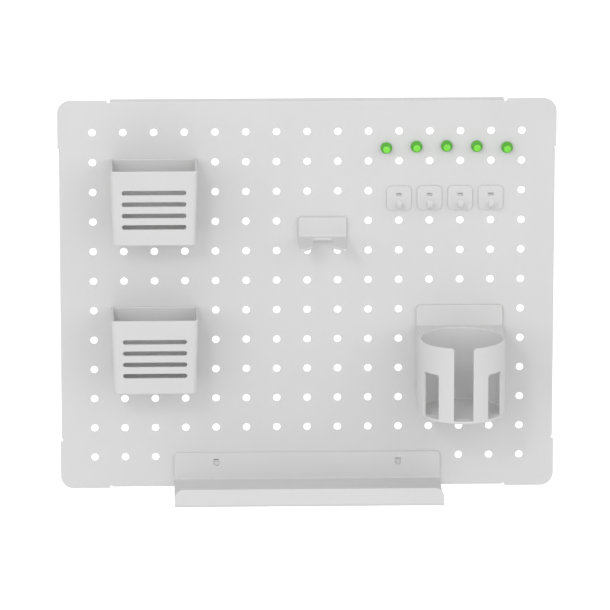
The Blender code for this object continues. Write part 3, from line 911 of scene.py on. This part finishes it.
def make_tool_holder(column, row):
    """Back plate and two-pronged fork in one moulding, with a fillet where they meet."""
    low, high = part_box("tool_holder")
    x = column_x(column)
    half = (high[0] - low[0]) / 2
    reach = PLATE_BACK - low[1]
    plate_front = PLATE_BACK - FORK_PLATE
    radii = (FORK_ROOT, FORK_ROOT, FORK_CORNER, FORK_CORNER)
    outline = rounded_rectangle(-half, half, 0, high[2] - low[2], radii, 8)
    bm = sheet_solid(outline, [], FORK_PLATE, FORK_EDGE, 4)
    place(bm, lambda u, v, depth: (x + u, plate_front + depth, low[2] + v))
    piece = make_piece("tool_fork", bm, MOULDING)
    arms = sheet_solid(fork_outline(half, reach), [], FORK_ARM, FORK_EDGE, 4)
    place(arms, lambda u, v, depth: (x + u, PLATE_BACK - v, low[2] + depth))
    combine(piece, "UNION", lambda bm: absorb(bm, arms))

    def draw_fillet(bm):
        inner = low[2] + FORK_ARM
        front, back = plate_front - FORK_FILLET, plate_front + FORK_OVERLAP
        foot, head = inner - FILLET_FOOT, inner + FORK_FILLET
        side = arc((front, head), FORK_FILLET, 0, -90, 10)
        side += [(front, foot), (back, foot), (back, head)]
        inset = FORK_EDGE + FILLET_GAP
        loft(bm, [[(u, y, z) for y, z in side] for u in (x - half + inset, x + half - inset)])

    combine(piece, "UNION", draw_fillet)
    add_tabs(piece, (column - 0.5, column + 0.5), row, PLATE_BACK - TAB_ROOT)
    finish_piece(piece, "tool_holder", ["tool_holder"])


# ------------------------------------------------------------------ cup holder

CUP_AXIS = 45 * MM
CUP_RADIUS = PLATE_BACK - CUP_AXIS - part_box("cup_holder")[0][1]
CUP_WALL = 2.0 * MM
CUP_FLOOR = 2.5 * MM
CUP_FOOT_ROUND = 1.2 * MM
CUP_PLATE = 2.5 * MM
CUP_PLATE_HEIGHT = 16.5 * MM
CUP_PLATE_FOOT = 10.0 * MM
CUP_LOWER_CORNER = 6.0 * MM
CUP_UPPER_CORNER = 4.0 * MM
CUP_PLATE_EDGE = 0.6 * MM
CUP_DECK_DROP = 1.0 * MM
CUP_DECK = 2.5 * MM
CUP_DECK_REACH = 2.0 * MM
CUP_WEB_EDGE = 0.3 * MM
CUP_CHEEK_FOOT = 4.0 * MM
CUP_CHEEK_STOP = 0.4 * MM
CUP_SLOT = 16.5 * MM
CUP_SLOT_MOUTH = 2.5 * MM
CUP_EASE = 0.4 * MM
CUP_WINDOW = (35, 63)
CUP_WINDOW_TOP = 24 * MM
WINDOW_LOWER_CORNER = 0.6 * MM
WINDOW_UPPER_CORNER = 2.2 * MM
CURVED_EDGE = 1.5 * MM
CUP_SIDES = 128


def circle(x, y, radius, z, sides=CUP_SIDES):
    """A level ring of points."""
    points = []
    for step in range(sides):
        angle = 2 * math.pi * (step + 0.5) / sides
        points.append((x + radius * math.cos(angle), y + radius * math.sin(angle), z))
    return points


def wall_cutter(bm, x, y, outline):
    """Cuts a shape through the round wall with eased edges.

    The outline is drawn in arc length and height, and the cutter's two ends are flat.
    """
    inner = CUP_RADIUS - CUP_WALL
    stations = [(inner - CUT_SPARE / 2, CUP_EASE), (inner, CUP_EASE)]
    stations += [(inner + depth, grow) for depth, grow in eased_edge(CUP_EASE)]
    stations += [(CUP_RADIUS - depth, grow) for depth, grow in reversed(eased_edge(CUP_EASE))]
    stations += [(CUP_RADIUS, CUP_EASE), (CUP_RADIUS + CUT_SPARE / 2, CUP_EASE)]
    middle = sum(along for along, _ in outline) / len(outline) / CUP_RADIUS - math.pi / 2

    def ring(radius, grow, flat=None):
        points = []
        for along, z in offset_loop(outline, -grow):
            turn = along / CUP_RADIUS - math.pi / 2 - middle
            out = radius * math.cos(turn) if flat is None else flat
            across = radius * math.sin(turn)
            points.append((x + out * math.cos(middle) - across * math.sin(middle),
                           y + out * math.sin(middle) + across * math.cos(middle), z))
        return points

    rings = [ring(stations[0][0], CUP_EASE, inner - 6 * CUT_SPARE)]
    rings += [ring(radius, grow) for radius, grow in stations]
    rings += [ring(stations[-1][0], CUP_EASE, CUP_RADIUS + 3 * CUT_SPARE)]
    loft(bm, rings)


def finer(outline, longest):
    """The same outline with its long edges divided."""
    fine = []
    for index, start in enumerate(outline):
        end = outline[(index + 1) % len(outline)]
        parts = max(1, math.ceil(math.dist(start, end) / longest))
        fine += [(start[0] + (end[0] - start[0]) * k / parts, start[1] + (end[1] - start[1]) * k / parts)
                 for k in range(parts)]
    return fine


def cut_openings(bm, x, axis_y, floor, rim):
    """The front slot, whose mouth is rounded, and a window either side of it."""
    half = CUP_SLOT / 2
    mouth = CUP_SLOT_MOUTH
    curve = arc((half + mouth, rim - mouth), mouth, 180, 95, 8)
    right = [(half, floor), *curve, (half + mouth, rim + 2 * CUT_SPARE)]
    slot = right + [(-u, z) for u, z in reversed(right)]
    wall_cutter(bm, x, axis_y, finer(slot, CURVED_EDGE))
    for side in (-1, 1):
        near, far = sorted(math.radians(side * angle) * CUP_RADIUS for angle in CUP_WINDOW)
        radii = (WINDOW_LOWER_CORNER, WINDOW_LOWER_CORNER, WINDOW_UPPER_CORNER, WINDOW_UPPER_CORNER)
        window = rounded_rectangle(near, far, floor, rim - CUP_WINDOW_TOP, radii, 6)
        wall_cutter(bm, x, axis_y, finer(window, CURVED_EDGE))


def make_cup_holder(column, row):
    """A round cup on a back plate: a deck and two cheeks join them, and the wall has three openings."""
    low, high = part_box("cup_holder")
    x = column_x(column)
    top, base = high[2], low[2]
    rim = top - CUP_PLATE_HEIGHT
    floor = base + CUP_FLOOR
    axis_y = PLATE_BACK - CUP_AXIS
    plate_front = PLATE_BACK - CUP_PLATE
    bm = bmesh.new()
    side = arc((CUP_FOOT_ROUND, base + CUP_FOOT_ROUND), CUP_FOOT_ROUND, 270, 180, 5)
    side += arc((RIM_ROUND, rim - RIM_ROUND), RIM_ROUND, 180, 90, 6)
    loft(bm, [circle(x, axis_y, CUP_RADIUS - inset, z) for inset, z in side])
    piece = make_piece("cup_shell", bm, MOULDING)
    half = (high[0] - low[0]) / 2
    radii = (CUP_LOWER_CORNER, CUP_LOWER_CORNER, CUP_UPPER_CORNER, CUP_UPPER_CORNER)
    outline = rounded_rectangle(-half, half, base + CUP_PLATE_FOOT, top, radii, 10)
    plate = sheet_solid(outline, [], CUP_PLATE, CUP_PLATE_EDGE, 4)
    place(plate, lambda u, v, depth: (x + u, plate_front + depth, v))
    combine(piece, "UNION", lambda bm: absorb(bm, plate))
    deck_top = rim - CUP_DECK_DROP
    web = deck_and_cheeks(half - GAP, axis_y, deck_top, base + CUP_CHEEK_FOOT)
    for solid in web:
        place(solid, lambda u, v, depth: (x + u, v, depth))
        combine(piece, "UNION", lambda bm: absorb(bm, solid))

    def bore(bm):
        inner = CUP_RADIUS - CUP_WALL
        side = arc((CUP_FOOT_ROUND, floor + CUP_FOOT_ROUND), CUP_FOOT_ROUND, 270, 180, 5)
        side += arc((-RIM_ROUND, rim - RIM_ROUND), RIM_ROUND, 0, 90, 6)
        side += [(-RIM_ROUND, rim + CUT_SPARE)]
        loft(bm, [circle(x, axis_y, inner - inset, z) for inset, z in side])

    combine(piece, "DIFFERENCE", bore)
    combine(piece, "DIFFERENCE", lambda bm: cut_openings(bm, x, axis_y, floor, rim))
    add_tabs(piece, (column - 1, column + 1), row, PLATE_BACK - TAB_ROOT)
    finish_piece(piece, "cup_holder", ["cup_holder"], sharp=32)


def deck_and_cheeks(half, axis_y, deck_top, cheek_low):
    """The flat deck behind the rim and the side wall under each of its ends."""
    back = PLATE_BACK - TAB_ROOT
    front = axis_y + CUP_DECK_REACH
    outline = [(-half, front), (half, front), (half, back), (-half, back)]
    deck = sheet_solid(outline, [], CUP_DECK, CUP_WEB_EDGE, 3)
    place(deck, lambda u, v, depth: (u, v, deck_top - CUP_DECK + depth))
    solids = [deck]
    height = deck_top - CUP_CHEEK_STOP - cheek_low
    back -= CUP_CHEEK_STOP / 2
    for left in (-half, half - CUP_WALL):
        right = left + CUP_WALL
        outline = [(left, axis_y), (right, axis_y), (right, back), (left, back)]
        cheek = sheet_solid(outline, [], height, CUP_WEB_EDGE, 3)
        place(cheek, lambda u, v, depth: (u, v, cheek_low + depth))
        solids.append(cheek)
    return solids


# ------------------------------------------------------------------ magnets

KNOB_SIDES = 64
KNOB_WAIST = 2.7 * MM
KNOB_HEAD = 3.3 * MM
KNOB_CROWN = 1.6 * MM
KNOB_DISH = 0.2 * MM
DISH_RINGS = (1.3 * MM, 0.9 * MM, 0.5 * MM, 0.2 * MM)
KNOB_FOOT_EDGE = 0.3 * MM
KNOB_SHOULDER = 1.2 * MM
SHOULDER_HEIGHT = 1.4 * MM
WAIST_HOLLOW = 1.3 * MM
WAIST_HEIGHT = 4.35 * MM
HEAD_UNDER = 0.5 * MM
HEAD_HEIGHT = 5.95 * MM
SOCKET_EDGE = 0.15 * MM
DISC_CHAMFER = 0.25 * MM


def turned(name, node_name, body, material, stations):
    """A piece turned about the axis of its node; stations are radius and distance from the panel."""
    low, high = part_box(node_name)
    x, z = (low[0] + high[0]) / 2, (low[2] + high[2]) / 2
    bm = bmesh.new()
    rings = []
    for radius, out in stations:
        rings.append([(u, PANEL_FRONT - GAP - out, v) for u, v, _ in circle(x, z, radius, 0, KNOB_SIDES)])
    loft(bm, rings)
    piece = make_piece(name, bm, material)
    finish_piece(piece, body, [node_name], sharp=50)


def make_magnet(number):
    """A push-pin shaped knob with a dished head, and the disc magnet in its foot."""
    low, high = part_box(f"magnet_knob_{number}")
    disc_low, disc_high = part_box(f"magnet_disc_{number}")
    foot = (high[0] - low[0]) / 2
    magnet = (disc_high[0] - disc_low[0]) / 2
    thick = disc_high[1] - disc_low[1]
    height = high[1] - low[1]
    socket = magnet + GAP
    flat = KNOB_HEAD - KNOB_CROWN
    profile = [(socket, thick + GAP), (socket, SOCKET_EDGE), (socket + SOCKET_EDGE, 0)]
    profile += arc((foot - KNOB_FOOT_EDGE, KNOB_FOOT_EDGE), KNOB_FOOT_EDGE, -90, 0, 5)
    profile += arc((foot - KNOB_SHOULDER, SHOULDER_HEIGHT), KNOB_SHOULDER, 0, 60, 8)
    profile += arc((KNOB_WAIST + WAIST_HOLLOW, WAIST_HEIGHT), WAIST_HOLLOW, 240, 125, 9)
    profile += arc((KNOB_HEAD - HEAD_UNDER, HEAD_HEIGHT), HEAD_UNDER, -30, 0, 3)
    profile += arc((flat, height - KNOB_CROWN), KNOB_CROWN, 5, 90, 9)
    profile += [(radius, height - KNOB_DISH * math.cos(radius / flat * math.pi / 2)) for radius in DISH_RINGS]
    body = f"magnet_{number}"
    turned(f"magnet_grip_{number}", f"magnet_knob_{number}", body, GREEN, profile)
    rim = magnet - DISC_CHAMFER
    disc = [(rim, thick), (magnet, thick - DISC_CHAMFER), (magnet, DISC_CHAMFER), (rim, 0)]
    turned(f"magnet_face_{number}", f"magnet_disc_{number}", body, NICKEL, disc)


# ------------------------------------------------------------------ stage, light, camera

def add_area(name, place_at, aim, size, power):
    """A rectangular softbox aimed at a point."""
    light = bpy.data.lights.new(name, "AREA")
    light.shape = "RECTANGLE"
    light.size, light.size_y = size
    light.energy = power
    made = bpy.data.objects.new(name, light)
    bpy.context.scene.collection.objects.link(made)
    made.location = place_at
    made.rotation_euler = (Vector(aim) - Vector(place_at)).to_track_quat("-Z", "Y").to_euler()


def make_stage():
    """A plain floor well below the board."""
    bm = bmesh.new()
    half = FLOOR_SIZE / 2
    corners = [(-half, -half), (half, -half), (half, half), (-half, half)]
    bm.faces.new([bm.verts.new((x, y, FLOOR_Z)) for x, y in corners])
    floor = make_piece("studio_floor", bm, pale_floor())


FLOOR_SIZE = 120.0
FLOOR_Z = cad_low[2] - 3.0

# Studio dome: an even base, a soft lobe either side in front, a weaker one behind, and a little overhead.
# The lobes' turn and rise are in degrees.
DOME_BASE = 0.65
DOME_SIDE = 1.42
DOME_REAR = 0.80
DOME_TOP = 0.05
LOBE_TURN = 41
LOBE_RISE = 8
LOBE_POWER = 8
KEY_PLACE = (-0.5, -1.5, 0.7)
KEY_SIZE = (0.25, 0.25)
KEY_POWER = 3.0


def add_lobe(tree, direction, turn, strength):
    """A soft bright patch on the dome, turned from straight ahead, as a value."""
    turn, rise = math.radians(turn), math.radians(LOBE_RISE)
    towards = (math.sin(turn) * math.cos(rise), -math.cos(turn) * math.cos(rise), math.sin(rise))
    facing = node(tree, "ShaderNodeVectorMath", operation="DOT_PRODUCT")
    facing.inputs[1].default_value = towards
    link(tree, direction, "Generated", facing, 0)
    front = math_node(tree, "MAXIMUM", None, 0.0)
    link(tree, facing, "Value", front, 0)
    narrow = math_node(tree, "POWER", None, LOBE_POWER)
    link(tree, front, 0, narrow, 0)
    scaled = math_node(tree, "MULTIPLY", None, strength)
    link(tree, narrow, 0, scaled, 0)
    return scaled


def make_dome():
    """A white studio dome that is brightest to the left and right in front, with a weaker patch behind."""
    world = bpy.data.worlds.new("soft_studio")
    bpy.context.scene.world = world
    world.use_nodes = True
    tree = world.node_tree
    background = tree.nodes["Background"]
    background.inputs["Color"].default_value = (1, 1, 1, 1)
    direction = node(tree, "ShaderNodeTexCoord")
    split = node(tree, "ShaderNodeSeparateXYZ")
    link(tree, direction, "Generated", split, "Vector")
    height = math_node(tree, "MAXIMUM", None, 0.0)
    link(tree, split, "Z", height, 0)
    total = math_node(tree, "MULTIPLY_ADD", None, DOME_TOP, DOME_BASE)
    link(tree, height, 0, total, 0)
    for turn, strength in ((-LOBE_TURN, DOME_SIDE), (LOBE_TURN, DOME_SIDE), (180, DOME_REAR)):
        lobe = add_lobe(tree, direction, turn, strength)
        grown = math_node(tree, "ADD", None, None)
        link(tree, total, 0, grown, 0)
        link(tree, lobe, 0, grown, 1)
        total = grown
    link(tree, total, 0, background, "Strength")


def make_light():
    """The dome, and a softbox above in front that puts a highlight on the glossy parts."""
    make_dome()
    centre = (GRID_X, PANEL_FRONT, GRID_Z)
    add_area("upper_softbox", KEY_PLACE, centre, KEY_SIZE, KEY_POWER)
    bpy.context.scene.view_settings.view_transform = "Standard"


CAMERA_DISTANCE = 5.0
CAMERA_ELEVATION = 15.0
CAMERA_YAW = 1.5
FRAME_WIDTH = 0.5082
SHIFT_ACROSS = -0.0035
SHIFT_UP = -0.0168
SENSOR = 36.0
CLIP_END = 100.0


def make_camera():
    """A long lens in front, a little above and a touch to the left."""
    camera = bpy.data.cameras.new("camera")
    camera.sensor_width = SENSOR
    camera.lens = SENSOR * CAMERA_DISTANCE / FRAME_WIDTH
    camera.shift_x = SHIFT_ACROSS
    camera.shift_y = SHIFT_UP
    camera.clip_end = CLIP_END
    made = bpy.data.objects.new("camera", camera)
    bpy.context.scene.collection.objects.link(made)
    tilt, yaw = math.radians(CAMERA_ELEVATION), math.radians(CAMERA_YAW)
    towards = Vector((-math.sin(yaw) * math.cos(tilt), -math.cos(yaw) * math.cos(tilt), math.sin(tilt)))
    made.location = Vector((GRID_X, PANEL_FRONT, GRID_Z)) + towards * CAMERA_DISTANCE
    made.rotation_euler = (math.radians(90) - tilt, 0, -yaw)
    bpy.context.scene.camera = made


make_panel()
make_bin("upper_bin_shell", "upper_bin", column=2, row=1)
make_bin("lower_bin_shell", "lower_bin", column=2, row=6)
make_tool_holder(column=7.5, row=3)
for number in range(1, 5):
    make_small_hook(number, column=9 + number, row=2)
make_cup_holder(column=12, row=6)
make_shelf(row=11, columns=(4, 10))
for number in range(1, 6):
    make_magnet(number)
make_stage()
make_light()
make_camera()
